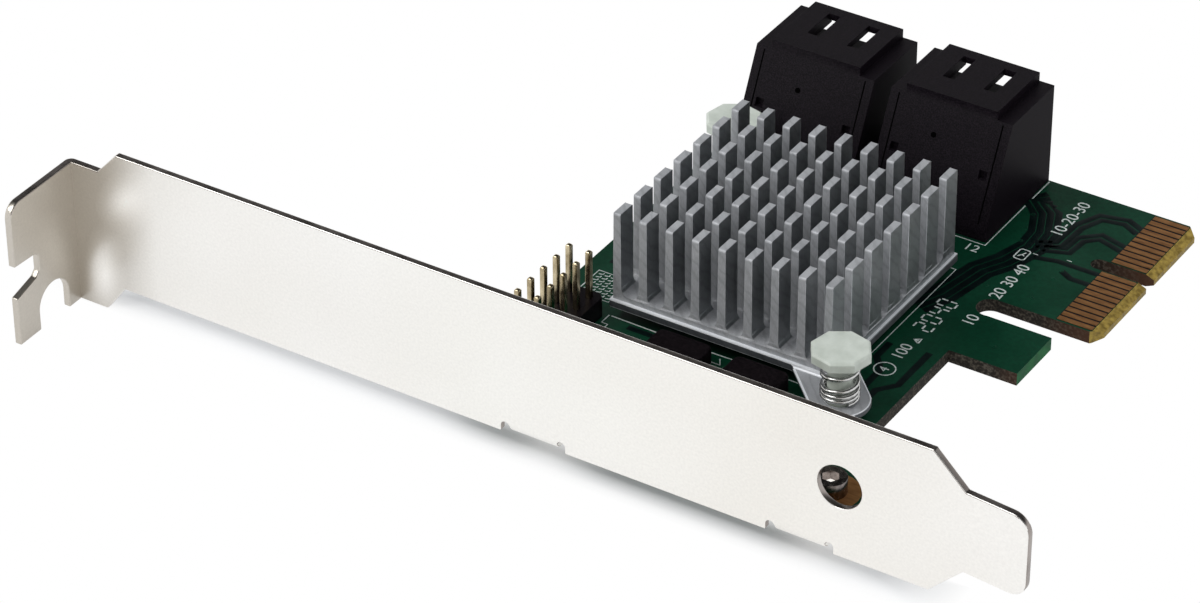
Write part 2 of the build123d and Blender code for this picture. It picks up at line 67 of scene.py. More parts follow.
def new_finish(name, colour, metallic=0.0, roughness=0.5, specular=0.5):
    """A material with its own shader, ready for grain, colour changes and relief."""
    finish = bpy.data.materials.new(name)
    finish.use_nodes = True
    shader = finish.node_tree.nodes["Principled BSDF"]
    shader.inputs["Base Color"].default_value = (*colour, 1)
    shader.inputs["Metallic"].default_value = metallic
    shader.inputs["Roughness"].default_value = roughness
    shader.inputs["Specular IOR Level"].default_value = specular
    return finish


def add_node(finish, kind, **settings):
    """A node of a material's or the world's tree, with its properties set by name."""
    node = finish.node_tree.nodes.new(kind)
    for name, value in settings.items():
        setattr(node, name, value)
    return node


def wire(finish, output, target):
    finish.node_tree.links.new(output, target)


def shader_of(finish):
    return finish.node_tree.nodes["Principled BSDF"]


def reckoned(finish, operation, first, second):
    """The result of a sum on two values, each an output or a number."""
    node = add_node(finish, "ShaderNodeMath", operation=operation)
    for value, target in zip((first, second), node.inputs):
        if isinstance(value, bpy.types.NodeSocket):
            wire(finish, value, target)
        else:
            target.default_value = value
    return node.outputs[0]


def mixed_shaders(finish, share, first, second):
    """Two shaders, mixed by the share of the second."""
    mix = add_node(finish, "ShaderNodeMixShader")
    wire(finish, share, mix.inputs["Fac"])
    wire(finish, first, mix.inputs[1])
    wire(finish, second, mix.inputs[2])
    return mix.outputs["Shader"]


def place_on(finish, stretch=(1, 1, 1), turn=0.0):
    """Object coordinates, stretched and turned about Z for grain that runs one way."""
    coordinates = add_node(finish, "ShaderNodeTexCoord")
    mapping = add_node(finish, "ShaderNodeMapping")
    mapping.inputs["Scale"].default_value = stretch
    mapping.inputs["Rotation"].default_value = (0, 0, turn)
    wire(finish, coordinates.outputs["Object"], mapping.inputs["Vector"])
    return mapping.outputs["Vector"]


def along(finish, axis, low, high):
    """Share of the way from one place to another along an axis: 0 before the first, 1 past the last."""
    parts = add_node(finish, "ShaderNodeSeparateXYZ")
    reach = add_node(finish, "ShaderNodeMapRange")
    reach.inputs["From Min"].default_value = low
    reach.inputs["From Max"].default_value = high
    wire(finish, place_on(finish), parts.inputs["Vector"])
    wire(finish, parts.outputs[axis], reach.inputs["Value"])
    return reach.outputs["Result"]


def grain(finish, size, detail=2.0, stretch=(1, 1, 1), turn=0.0):
    """Noise whose blotches are about this many metres across."""
    noise = add_node(finish, "ShaderNodeTexNoise")
    noise.inputs["Scale"].default_value = 1 / size
    noise.inputs["Detail"].default_value = detail
    wire(finish, place_on(finish, stretch, turn), noise.inputs["Vector"])
    return noise.outputs["Fac"]


def steps(finish, factor, *stops):
    """A colour ramp over a factor: pairs of place and colour, or place and grey value."""
    ramp = add_node(finish, "ShaderNodeValToRGB")
    while len(ramp.color_ramp.elements) < len(stops):
        ramp.color_ramp.elements.new(0.5)
    for element, (position, colour) in zip(ramp.color_ramp.elements, stops):
        element.position = position
        grey = isinstance(colour, (int, float))
        element.color = (colour, colour, colour, 1) if grey else (*colour, 1)
    wire(finish, factor, ramp.inputs["Fac"])
    return ramp.outputs["Color"]


def blend_colours(finish, factor, first, second, way="MIX"):
    """Two colours, or colour outputs, mixed by a factor output or number."""
    mix = add_node(finish, "ShaderNodeMix", data_type="RGBA", blend_type=way)
    for value, name in ((factor, 0), (first, 6), (second, 7)):
        if isinstance(value, bpy.types.NodeSocket):
            wire(finish, value, mix.inputs[name])
        elif isinstance(value, tuple):
            mix.inputs[name].default_value = (*value, 1)
        else:
            mix.inputs[name].default_value = value
    return mix.outputs[2]


def colour_from(finish, output):
    wire(finish, output, shader_of(finish).inputs["Base Color"])


def roughness_from(finish, factor, low, high):
    """Roughness that wanders between two values with a noise."""
    spread = add_node(finish, "ShaderNodeMapRange")
    spread.inputs["From Min"].default_value = 0.3
    spread.inputs["From Max"].default_value = 0.7
    spread.inputs["To Min"].default_value = low
    spread.inputs["To Max"].default_value = high
    wire(finish, factor, spread.inputs["Value"])
    wire(finish, spread.outputs["Result"], shader_of(finish).inputs["Roughness"])


def relief(finish, factor, depth, strength=1.0):
    """Bump of this depth in metres from a factor; a second call adds to the first."""
    bump = add_node(finish, "ShaderNodeBump")
    bump.inputs["Distance"].default_value = depth
    bump.inputs["Strength"].default_value = strength
    wire(finish, factor, bump.inputs["Height"])
    normal = shader_of(finish).inputs["Normal"]
    if normal.is_linked:
        wire(finish, normal.links[0].from_socket, bump.inputs["Normal"])
    wire(finish, bump.outputs["Normal"], normal)


def joined(pieces, name):
    """Several pieces made into one object with its origin at the row's origin."""
    pick_nothing()
    for piece in pieces:
        piece.select_set(True)
    bpy.context.view_layer.objects.active = pieces[0]
    bpy.ops.object.join()
    piece = bpy.context.object
    piece.name = name
    return settled(piece)


def settled(piece):
    """Place, turn and size go into the mesh, and all faces point outward."""
    pick_only(piece)
    bpy.ops.object.transform_apply(location=True, rotation=True, scale=True)
    bpy.ops.object.mode_set(mode="EDIT")
    bpy.ops.mesh.select_all(action="SELECT")
    bpy.ops.mesh.normals_make_consistent(inside=False)
    bpy.ops.object.mode_set(mode="OBJECT")
    return piece


def eased(piece, width, segments=2, clamp=True, stays_sharp=None):
    """A small bevel on the sharp edges, save those that stay; flat faces keep their shading."""
    pick_only(piece)
    if width:
        bpy.ops.object.mode_set(mode="EDIT")
        bpy.ops.mesh.select_mode(type="EDGE")
        bpy.ops.mesh.select_all(action="DESELECT")
        bpy.ops.mesh.edges_select_sharp(sharpness=radians(30))
        bpy.ops.object.mode_set(mode="OBJECT")
        weights = piece.data.attributes.new("bevel_weight_edge", "FLOAT", "EDGE")
        points = piece.data.vertices
        for edge in piece.data.edges:
            ends = [points[index].co for index in edge.vertices]
            if edge.select and not (stays_sharp and stays_sharp(*ends)):
                weights.data[edge.index].value = 1.0
        bevel = piece.modifiers.new("eased_edges", "BEVEL")
        bevel.width = width
        bevel.loop_slide = False
        bevel.segments = segments
        bevel.limit_method = "WEIGHT"
        bevel.use_clamp_overlap = clamp
        bpy.ops.object.modifier_apply(modifier=bevel.name)
    bpy.ops.object.shade_smooth_by_angle(angle=radians(40))
    flats = piece.modifiers.new("flat_faces", "WEIGHTED_NORMAL")
    flats.keep_sharp = True
    bpy.ops.object.modifier_apply(modifier=flats.name)
    return piece


pick_nothing()
bpy.ops.mesh.primitive_plane_add(size=6, location=(0.06, 0.03, table_height))
table = bpy.context.object
table.name = "table"
table_finish = new_finish("white_table", (0.93, 0.935, 0.945), roughness=1.0, specular=0.0)
table_glow = add_node(table_finish, "ShaderNodeEmission")
table_glow.inputs["Strength"].default_value = 1.0
table_mirror_share = 0.6
table_rays = add_node(table_finish, "ShaderNodeLightPath")
# Painted light: the table glows white for camera rays, which lightens away its shadow everywhere but in a
# band along the plate's lower edge, where the shadow fades out by a set profile. Mirror rays see part of the
# glow too.
table_band = steps(
    table_finish, along(table_finish, "Y", -35 * mm, -15 * mm),
    (0.235, 1.0), (0.265, 0.9), (0.295, 0.74), (0.325, 0.5),
    (0.385, 0.22), (0.415, 0.03), (0.46, 0.1), (0.58, 1.0),
)
table_ends = steps(
    table_finish, along(table_finish, "X", -70 * mm, 70 * mm),
    (0.02, 1.0), (0.12, 0.0), (0.79, 0.0), (0.86, 1.0),
)
table_white = reckoned(table_finish, "MAXIMUM", table_band, table_ends)
table_seen = reckoned(table_finish, "MULTIPLY", table_white, table_rays.outputs["Is Camera Ray"])
table_mirrored = reckoned(
    table_finish, "MULTIPLY", table_rays.outputs["Is Glossy Ray"], table_mirror_share
)
table_share = reckoned(table_finish, "ADD", table_seen, table_mirrored)
table_mix = mixed_shaders(
    table_finish, table_share, shader_of(table_finish).outputs["BSDF"], table_glow.outputs["Emission"]
)
wire(table_finish, table_mix, table_finish.node_tree.nodes["Material Output"].inputs["Surface"])
table.data.materials.append(table_finish)

world = bpy.data.worlds.new("studio")
scene.world = world
world.use_nodes = True
soft_sky = world.node_tree.nodes["Background"]
soft_sky.inputs["Color"].default_value = (0.96, 0.98, 1.0, 1)
soft_sky.inputs["Strength"].default_value = 0.75
seen_sky = add_node(world, "ShaderNodeBackground")
seen_sky.inputs["Color"].default_value = (1, 1, 1, 1)
seen_sky.inputs["Strength"].default_value = 1.0
mirrored_sky = add_node(world, "ShaderNodeBackground")
mirrored_sky.inputs["Strength"].default_value = 1.0
sky_bands = steps(world, along(world, "Z", 0, 1), (0.28, 1.0), (0.44, 0.04))
wire(world, sky_bands, mirrored_sky.inputs["Color"])
sky_rays = add_node(world, "ShaderNodeLightPath")
sky_seen = reckoned(
    world, "MAXIMUM", sky_rays.outputs["Is Camera Ray"], sky_rays.outputs["Is Transmission Ray"]
)
sky_light = mixed_shaders(
    world, sky_rays.outputs["Is Glossy Ray"],
    soft_sky.outputs["Background"], mirrored_sky.outputs["Background"],
)
sky = mixed_shaders(world, sky_seen, sky_light, seen_sky.outputs["Background"])
wire(world, sky, world.node_tree.nodes["World Output"].inputs["Surface"])


def soft_box(name, place, target, size, power):
    """A square lamp that faces the card."""
    pick_nothing()
    bpy.ops.object.light_add(type="AREA", location=place)
    lamp = bpy.context.object
    lamp.name = name
    lamp.data.size = size
    lamp.data.energy = power
    aim = Vector(target) - Vector(place)
    lamp.rotation_euler = aim.to_track_quat("-Z", "Y").to_euler()


soft_box("key_light", (-0.284, -0.426, 0.56), (0.06, 0.03, 0.0), 0.5, 3.0)

pick_nothing()
bpy.ops.object.camera_add(
    location=(0.283828, -0.337437, 0.296421),
    rotation=(radians(55.32913), radians(-0.09171), radians(31.90842)),
)
camera = bpy.context.object
camera.name = "camera"
camera.data.sensor_width = 36.0
camera.data.lens = 142.187
camera.data.shift_x = -0.033187
camera.data.shift_y = 0.008449
camera.data.clip_start = 0.01
camera.data.clip_end = 20.0
scene.camera = camera

# Slot bracket.
# One strip of steel sheet, stamped and folded at the tab end and at two small ears, with satin
# nickel plating. The board stands on the ears.


def merged_copy(node, name):
    """A CAD node's mesh as a piece of its own, merged into one skin with whole flat faces."""
    piece = bpy.data.objects.new(name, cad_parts[node].data.copy())
    piece.data.materials.clear()
    scene.collection.objects.link(piece)
    pick_only(piece)
    bpy.ops.mesh.customdata_custom_splitnormals_clear()
    bpy.ops.object.mode_set(mode="EDIT")
    bpy.ops.mesh.select_all(action="SELECT")
    bpy.ops.mesh.remove_doubles(threshold=0.002 * mm)
    bpy.ops.mesh.dissolve_limited(angle_limit=radians(0.3))
    bpy.ops.mesh.normals_make_consistent(inside=False)
    bpy.ops.object.mode_set(mode="OBJECT")
    return piece


def stands_for(piece, *nodes):
    """The piece takes the place of these CAD nodes."""
    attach(piece, "root")
    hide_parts(*nodes)


def detail_of(piece):
    """The piece is added to what the CAD has."""
    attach(piece, "root")


def finish_with(piece, *finishes):
    """Puts materials on a piece, in the order of its material slots."""
    piece.data.materials.clear()
    for finish in finishes:
        piece.data.materials.append(finish)


def plated(name, dark, light, rough, size=0.5 * mm):
    """Metal with cloudy tone, uneven shine and slight relief."""
    finish = new_finish(name, light, metallic=1.0, roughness=rough)
    cloud = grain(finish, size, detail=3)
    colour_from(finish, steps(finish, cloud, (0.3, dark), (0.7, light)))
    roughness_from(finish, cloud, rough - 0.07, rough + 0.07)
    relief(finish, cloud, 0.01 * mm, 0.3)
    return finish


nickel = new_finish("satin_nickel", (0.9, 0.88, 0.85), metallic=1.0, roughness=0.3)
nickel_cloud = grain(nickel, 30 * mm, detail=2)
nickel_speck = grain(nickel, 0.3 * mm, detail=2)
nickel_tint = steps(nickel, nickel_cloud, (0.35, (1.0, 0.99, 0.97)), (0.68, (0.95, 0.935, 0.905)))
nickel_grit = steps(nickel, nickel_speck, (0.3, 0.93), (0.7, 1.0))
# Painted shade and highlights: the nickel darkens steeply towards the tab's fold, standing in for the dark
# things it mirrors there, varies a little in tone along the plate, and takes two soft painted highlights
# beside the fold.
nickel_shade_and_highlights = steps(
    nickel, along(nickel, "X", 0, 120 * mm),
    (0.0, (0.61, 0.575, 0.525)), (0.04, (0.67, 0.64, 0.6)), (0.1, (0.955, 0.945, 0.925)),
    (0.3, (0.98, 0.975, 0.965)), (0.45, (1.0, 1.0, 0.985)), (0.75, (0.965, 0.95, 0.92)),
    (1.0, (0.99, 0.98, 0.965)),
)
for spot_x, spot_level, spot_width, spot_height, spot_lean in (
    (8.2, 11.9, 3.4, 5.6, 0.7), (4.6, 1.0, 3.0, 7.5, 0.1)
):
    shape = add_node(nickel, "ShaderNodeMapping", vector_type="TEXTURE")
    shape.inputs["Location"].default_value = (spot_x * mm, 0, spot_level * mm)
    shape.inputs["Rotation"].default_value = (0, spot_lean, 0)
    shape.inputs["Scale"].default_value = (spot_width * mm, 0.1, spot_height * mm)
    glow = add_node(nickel, "ShaderNodeTexGradient", gradient_type="SPHERICAL")
    wire(nickel, place_on(nickel), shape.inputs["Vector"])
    wire(nickel, shape.outputs["Vector"], glow.inputs["Vector"])
    glint = steps(nickel, glow.outputs["Fac"], (0.0, 0.0), (0.35, 0.2), (0.7, 0.55), (1.0, 0.8))
    nickel_shade_and_highlights = blend_colours(nickel, glint, nickel_shade_and_highlights, (1.15, 1.14, 1.12))
nickel_skin = blend_colours(nickel, 1.0, nickel_tint, nickel_grit, "MULTIPLY")
colour_from(nickel, blend_colours(nickel, 1.0, nickel_skin, nickel_shade_and_highlights, "MULTIPLY"))
roughness_from(nickel, nickel_cloud, 0.27, 0.36)
relief(nickel, nickel_speck, 0.01 * mm, 0.3)

sheet = 0.86 * mm
hole_x = 98.05 * mm
hole_level = 8.75 * mm
hole_wall_reach = 3 * mm
upper_edge = 14 * mm
upper_rounding = 13.5 * mm
shoulder_x = 108.6 * mm
bracket_end = 119.6 * mm
relief_low, relief_high = 0.1 * mm, 1.6 * mm
near = 0.01 * mm


def inner_fold(first, second):
    """Whether an edge lies in the inner corner of the tab's fold or of an ear's."""
    ends = (first, second)
    tab = all(abs(end.x - sheet) < near and abs(end.y) < near for end in ends)
    ear = all(abs(end.y - sheet) < near and abs(end.z - sheet) < near for end in ends)
    return tab or ear


bracket = merged_copy("bracket", "slot_bracket")
eased(bracket, 0.14 * mm, segments=3, clamp=False, stays_sharp=inner_fold)
# The cut edges, the flat top edge, the notch walls and the round hole's wall take a darker finish: partly
# bare cut steel, partly painted shade and dark reflection.
cut_edge_and_shade = plated("cut_edge_painted_shade", (0.3, 0.265, 0.245), (0.42, 0.38, 0.355), 0.3, 3 * mm)
finish_with(bracket, nickel, cut_edge_and_shade)
for face in bracket.data.polygons:
    middle, way = face.center, face.normal
    hole_reach = sqrt((middle.x - hole_x) ** 2 + (middle.z - hole_level) ** 2)
    is_cut_or_shaded = (
        (middle.z > upper_edge and way.z > 0.95)
        or (middle.z > upper_rounding and middle.y < sheet / 2 and 0.2 < way.z < 0.45)
        or (middle.x > shoulder_x and way.z > 0.3 and abs(way.y) < 0.25)
        or (middle.x > bracket_end and way.x > 0.6)
        or (relief_low < middle.z < relief_high and 0 < middle.y < sheet and abs(way.y) < 0.3)
        or (hole_reach < hole_wall_reach and abs(way.y) < 0.3)
    )
    if is_cut_or_shaded:
        face.material_index = 1
stands_for(bracket, "bracket")

# Circuit board.
# Glass-fibre laminate with green solder mask over copper on both faces. The routed edges are bare
# and dark, and the edge tongue is bevelled down to the olive glass fibre.
board_top = 2.43 * mm
tongue_end = 103.05 * mm
small_tab_end = 99.98 * mm

mask = new_finish("green_mask", (0.0025, 0.045, 0.021), roughness=0.38, specular=0.14)
mask_cloud = grain(mask, 9 * mm, detail=3)
mask_weave = grain(mask, 0.45 * mm, detail=1)
mask_tint = steps(mask, mask_cloud, (0.35, (0.0018, 0.038, 0.018)), (0.65, (0.003, 0.054, 0.026)))
mask_shade = steps(mask, mask_weave, (0.35, 0.82), (0.65, 1.0))
mask_skin = blend_colours(mask, 1.0, mask_tint, mask_shade, "MULTIPLY")
# Painted shadow: the mask darkens almost to black under the heatsink and just in front of it.
painted_sink_shadow = 0.85
for axis, low, high in (("X", 54 * mm, 88 * mm), ("Y", 17 * mm, 53 * mm)):
    span = steps(
        mask, along(mask, axis, low, high), (0.108, 0.0), (0.13, 1.0), (0.87, 1.0), (0.9, 0.0)
    )
    painted_sink_shadow = blend_colours(mask, painted_sink_shadow, (0.0, 0.0, 0.0), span)
colour_from(mask, blend_colours(mask, painted_sink_shadow, mask_skin, (0.001, 0.003, 0.002)))
roughness_from(mask, mask_cloud, 0.32, 0.46)
relief(mask, mask_weave, 0.012 * mm, 0.35)

routed = new_finish("routed_edge", (0.02, 0.016, 0.01), roughness=0.8, specular=0.2)
routed_speck = grain(routed, 0.35 * mm, detail=3)
routed_tint = steps(routed, routed_speck, (0.45, (0.007, 0.008, 0.006)), (0.68, (0.1, 0.09, 0.072)))
routed_share = steps(
    routed, along(routed, "X", 96 * mm, 104 * mm), (0.1, 0.1), (0.5, 0.55), (0.9, 0.85)
)
colour_from(routed, blend_colours(routed, routed_share, routed_tint, (0.06, 0.023, 0.01)))
roughness_from(routed, routed_speck, 0.6, 0.9)
relief(routed, routed_speck, 0.04 * mm, 0.6)

# The small tab's end face takes a lighter, rougher green than the mask: mask on the rim, made lighter as
# painted light on that face.
lit_rim_green = new_finish("lit_mask_on_rim", (0.008, 0.09, 0.04), roughness=0.7, specular=0.1)
rim_cloud = grain(lit_rim_green, 1.5 * mm, detail=3)
colour_from(lit_rim_green, steps(lit_rim_green, rim_cloud, (0.35, (0.02, 0.09, 0.04)), (0.65, (0.035, 0.15, 0.06))))
roughness_from(lit_rim_green, rim_cloud, 0.6, 0.8)
relief(lit_rim_green, rim_cloud, 0.02 * mm, 0.4)

olive = new_finish("olive_laminate", (0.2, 0.17, 0.04), roughness=0.55, specular=0.3)
olive_speck = grain(olive, 0.6 * mm, detail=3)
colour_from(olive, steps(olive, olive_speck, (0.35, (0.16, 0.105, 0.014)), (0.65, (0.36, 0.25, 0.045))))
roughness_from(olive, olive_speck, 0.4, 0.65)
relief(olive, olive_speck, 0.03 * mm, 0.5)

board = eased(merged_copy("circuit_board", "bare_board"), 0)
finish_with(board, mask, routed, olive, lit_rim_green)
for face in board.data.polygons:
    if abs(face.normal.z) < 0.6:
        face.material_index = 1
    if face.center.x > tongue_end and abs(face.normal.z) < 0.99:
        face.material_index = 2
    if face.normal.x > 0.9 and abs(face.center.x - small_tab_end) < 0.1 * mm:
        face.material_index = 3
stands_for(board, "circuit_board")

# Copper tracks.
# Etched copper under the solder mask: its tracks show as darker green bands with a soft edge.


def rods(name, routes, radius, roundness):
    """Round rods along routes of points in metres, made mesh."""
    path = bpy.data.curves.new(name, "CURVE")
    path.dimensions = "3D"
    path.bevel_depth = radius
    path.bevel_resolution = roundness
    path.use_fill_caps = True
    for route in routes:
        spline = path.splines.new("POLY")
        spline.points.add(len(route) - 1)
        for point, place in zip(spline.points, route):
            point.co = (*place, 1)
    piece = bpy.data.objects.new(name, path)
    scene.collection.objects.link(piece)
    pick_only(piece)
    bpy.ops.object.convert(target="MESH")
    return bpy.context.object


def drawn_lines(name, routes, width, level, thick):
    """Flat lines on the board, by routes in millimetres: round rods, pressed flat."""
    places = [[(x * mm, y * mm, 0) for x, y in route] for route in routes]
    lines = rods(name, places, width / 2, 1)
    lines.scale.z = thick / width
    lines.location.z = level
    return settled(lines)


def beside(route, gap):
    """A route moved sideways by a gap in millimetres."""
    moved = []
    for index, (x, y) in enumerate(route):
        before = route[max(index - 1, 0)]
        after = route[min(index + 1, len(route) - 1)]
        way = Vector((after[0] - before[0], after[1] - before[1])).normalized()
        moved.append((x - way.y * gap, y + way.x * gap))
    return moved


tracks = new_finish("masked_copper", (0.0015, 0.006, 0.006), roughness=0.35, specular=0.16)
track_cloud = grain(tracks, 2.5 * mm, detail=3)
colour_from(tracks, steps(tracks, track_cloud, (0.35, (0.001, 0.004, 0.0045)), (0.7, (0.002, 0.010, 0.009))))
roughness_from(tracks, track_cloud, 0.3, 0.42)
relief(tracks, track_cloud, 0.01 * mm, 0.3)

long_route = [(84, 41), (85.5, 44.3), (86.7, 50.6), (88.3, 53.6), (89.4, 57.4), (89.2, 60.6), (87.7, 64.1)]
long_route += [(85.6, 65.9), (87.0, 67.3)]
lane_routes = [
    [(89.9, 58.2), (92.2, 59.6), (92.4, 63.9), (93.7, 66.8), (96.6, 67.5), (98.8, 66.4)],
    [(91.0, 58.0), (93.6, 58.9), (93.8, 61.7), (95.5, 63.3), (98.8, 62.4)],
    [(91.0, 55.8), (93.6, 56.5), (98.8, 56.5)],
    [(94.9, 55.0), (96.4, 54.2), (98.8, 54.2)],
]
near_routes = [
    [(60, 20.4), (64.2, 20.4), (65.4, 21.6), (65.4, 24)],
    [(52, 30), (52, 37), (54.5, 39.5), (54.5, 45)],
    [(87.2, 22), (87.2, 28), (85.6, 30), (85.6, 33)],
    [(88.6, 16), (88.6, 24.5), (90.2, 26.5), (90.2, 33.5)],
]
band_routes = [beside(long_route, gap) for gap in (-1.9, -0.95, 0, 0.95)]
band_routes += [beside(route, gap) for route in lane_routes[:2] for gap in (-0.5, 0.5)]
band_routes += lane_routes[2:] + near_routes
copper_tracks = drawn_lines("copper_tracks", band_routes, 0.85 * mm, board_top, 0.03 * mm)
copper_tracks.data.materials.append(tracks)
bpy.ops.object.shade_smooth_by_angle(angle=radians(60))
detail_of(copper_tracks)

# Silkscreen.
# White ink in thin lines: outlines of the heatsink and of the right connector, part marks and a
# hatched label field.
ink = new_finish("white_ink", (0.62, 0.66, 0.64), roughness=0.7, specular=0.2)
ink_wear = grain(ink, 0.25 * mm, detail=2)
colour_from(ink, steps(ink, ink_wear, (0.3, (0.34, 0.4, 0.38)), (0.6, (0.68, 0.72, 0.7))))
roughness_from(ink, ink_wear, 0.6, 0.8)
relief(ink, ink_wear, 0.01 * mm, 0.3)

ink_level = board_top + 0.012 * mm
ink_thickness = 0.02 * mm
outlines = [
    [(57.4, 21.3), (64.1, 21.2)], [(69.4, 21.1), (73.7, 21.2)],
    [(79.0, 21.17), (84.85, 21.17), (84.85, 49.08), (82.2, 49.08)],
    [(81.3, 55.0), (85.3, 55.0), (85.3, 64.45)], [(85.3, 66.15), (85.3, 70.3)],
    [(57.1, 21.3), (57.1, 19.7), (57.9, 19.7), (57.9, 18.6)],
    [(71.0, 19.6), (72.2, 19.6), (71.6, 20.6)],
    [(89.3, 55.1), (89.65, 55.6), (90.0, 55.4)], [(89.65, 55.6), (89.9, 56.1)],
]
mark_spot = (89.65, 55.6)
ring_spot = (87.5, 28.4)
ring_radius = 1.2
rounded_frame = [(-0.65, -0.8), (-0.45, -1.0), (0.45, -1.0), (0.65, -0.8), (0.65, 0.8), (0.45, 1.0)]
rounded_frame += [(-0.45, 1.0), (-0.65, 0.8), (-0.65, -0.8)]
outlines.append([(mark_spot[0] + x, mark_spot[1] + y) for x, y in rounded_frame])
ring_turns = [step * pi / 12 for step in range(25)]
outlines.append([
    (ring_spot[0] + ring_radius * cos(turn), ring_spot[1] + ring_radius * sin(turn))
    for turn in ring_turns
])
silk_lines = drawn_lines("silk_lines", outlines, 0.17 * mm, ink_level, ink_thickness)
silk_lines.data.materials.append(ink)
detail_of(silk_lines)

hatch_start = (51.85, 23.75)
hatch_pitch = (0.78, 0.62)
hatch_columns = 5
hatch_rows = 7
hatch = [[(51.5, 23.3), (55.7, 23.3), (55.7, 28.1), (51.5, 28.1), (51.5, 23.3)]]
for row in range(hatch_rows):
    y = hatch_start[1] + hatch_pitch[1] * row
    for mark in range(hatch_columns):
        x = hatch_start[0] + hatch_pitch[0] * mark
        hatch.append([(x, y), (x + 0.5, y + 0.12), (x + 0.5, y + 0.38)])
hatched_field = drawn_lines("hatched_field", hatch, 0.15 * mm, ink_level, ink_thickness)
hatched_field.data.materials.append(ink)
detail_of(hatched_field)

# Printed numbers.
# White plain figures in the ink of the lines; one number is set in seven short dashes a figure.


def printed_number(number, place, height, turn):
    """Figures in plain type, made mesh, lying on the board."""
    pick_nothing()
    bpy.ops.object.text_add(location=(place[0] * mm, place[1] * mm, board_top + 0.015 * mm))
    figures = bpy.context.object
    figures.data.body = number
    figures.data.size = height * mm
    figures.data.extrude = 0.006 * mm
    figures.rotation_euler.z = radians(turn)
    bpy.ops.object.convert(target="MESH")
    return bpy.context.object


numbers = joined([
    printed_number("10", (91.6, 40.3), 2.1, 90),
    printed_number("20 30 40", (91.7, 46.4), 2.1, 90),
    printed_number("10-20-30", (91.6, 60.9), 2.1, 90),
    printed_number("12", (83.3, 53.2), 1.9, 0),
    printed_number("100", (88.15, 30.7), 2.0, 90),
    printed_number("4", (88.0, 27.9), 1.6, 90),
    printed_number("1", (91.2, 56.2), 0.9, 90),
    printed_number("1", (95.0, 57.0), 0.9, 90),
], "printed_numbers")
numbers.data.materials.append(ink)
detail_of(numbers)

dash_rise = 1.1
dash_run = 1.15
dash_gap = 0.18
dash_foot = (88.35, 36.9)
dash_pitch = 1.75
dash_ends = {
    "top": ((2, 0), (2, 1)), "middle": ((1, 0), (1, 1)), "foot": ((0, 0), (0, 1)),
    "left_high": ((1, 0), (2, 0)), "left_low": ((0, 0), (1, 0)),
    "right_high": ((1, 1), (2, 1)), "right_low": ((0, 1), (1, 1)),
}
two = ("top", "right_high", "middle", "left_low", "foot")
four = ("left_high", "middle", "right_high", "right_low")
zero = ("top", "left_high", "left_low", "right_high", "right_low", "foot")
dashes = []
for place, figure in enumerate((two, zero, four, zero)):
    for dash in figure:
        ends = []
        for (rise, run), (other_rise, other_run) in (dash_ends[dash], dash_ends[dash][::-1]):
            x = dash_foot[0] - dash_rise * rise - dash_gap * (other_rise - rise)
            y = dash_foot[1] + dash_pitch * place + dash_run * run + dash_gap * (other_run - run)
            ends.append((x, y))
        dashes.append(ends)
dashes += [[(88.2, 34.45), (87.45, 34.9), (88.2, 35.35), (88.2, 34.45)], [(88.05, 34.9), (87.6, 34.9)]]
dashed_number = drawn_lines("dashed_number", dashes, 0.24 * mm, ink_level, ink_thickness)
dashed_number.data.materials.append(ink)
detail_of(dashed_number)

# Vias and solder points.
# Small plated holes join the tracks to the other side; their rims stand up a little under the
# green mask. Two points of solder show beside the heatsink's outline.
via_radius = 0.2 * mm
via_rim = 0.07 * mm
solder_radius = 0.42 * mm
pad_copper = new_finish("tinned_pad", (0.42, 0.43, 0.42), metallic=0.9, roughness=0.4)
pad_spots = grain(pad_copper, 0.2 * mm, detail=2)
colour_from(pad_copper, steps(pad_copper, pad_spots, (0.3, (0.3, 0.31, 0.3)), (0.7, (0.55, 0.56, 0.55))))
roughness_from(pad_copper, pad_spots, 0.3, 0.5)
relief(pad_copper, pad_spots, 0.02 * mm, 0.4)

via_places = [
    (94.9, 55.0), (94.8, 53.2), (61.5, 18.4), (66.3, 23.2), (88.2, 58.0), (87.4, 60.6), (86.9, 63.4),
    (53.2, 33.5), (50.8, 40.2), (87.0, 18.5), (89.8, 21.3), (86.6, 34.6), (51.0, 50.5), (94.6, 48.6),
    (89.2, 48.1), (95.5, 38.2), (53.6, 6.4), (58.3, 9.4), (66.2, 8.0),
]
via_rings = []
for x, y in via_places:
    pick_nothing()
    bpy.ops.mesh.primitive_torus_add(
        major_segments=12, minor_segments=5, major_radius=via_radius, minor_radius=via_rim,
        location=(x * mm, y * mm, board_top),
    )
    ring = bpy.context.object
    ring.scale.z = 0.4
    via_rings.append(ring)
vias = joined(via_rings, "board_vias")
vias.data.materials.append(mask)
bpy.ops.object.shade_smooth_by_angle(angle=radians(60))
detail_of(vias)

blobs = []
for x, y in ((64.15, 21.37), (73.5, 21.57)):
    pick_nothing()
    bpy.ops.mesh.primitive_uv_sphere_add(
        segments=16, ring_count=8, radius=solder_radius, location=(x * mm, y * mm, board_top)
    )
    blob = bpy.context.object
    blob.scale.z = 0.7
    blobs.append(blob)
solder = joined(blobs, "solder_points")
solder.data.materials.append(pad_copper)
bpy.ops.object.shade_smooth_by_angle(angle=radians(60))
detail_of(solder)

# Gold contacts and screw lands.
# Thin gold plate over copper, brownish where the lamp is not mirrored, with fine scratches. Bare
# dark laminate shows between the contacts.


def moulded(name, dark, light, rough, speck=0.15 * mm, shine=0.3):
    """Black moulded stuff with fine sparkle and slight relief."""
    finish = new_finish(name, dark, roughness=rough, specular=shine)
    dots = grain(finish, speck, detail=2)
    colour_from(finish, steps(finish, dots, (0.4, dark), (0.75, light)))
    roughness_from(finish, dots, rough - 0.08, rough + 0.08)
    relief(finish, dots, 0.015 * mm, 0.4)
    return finish


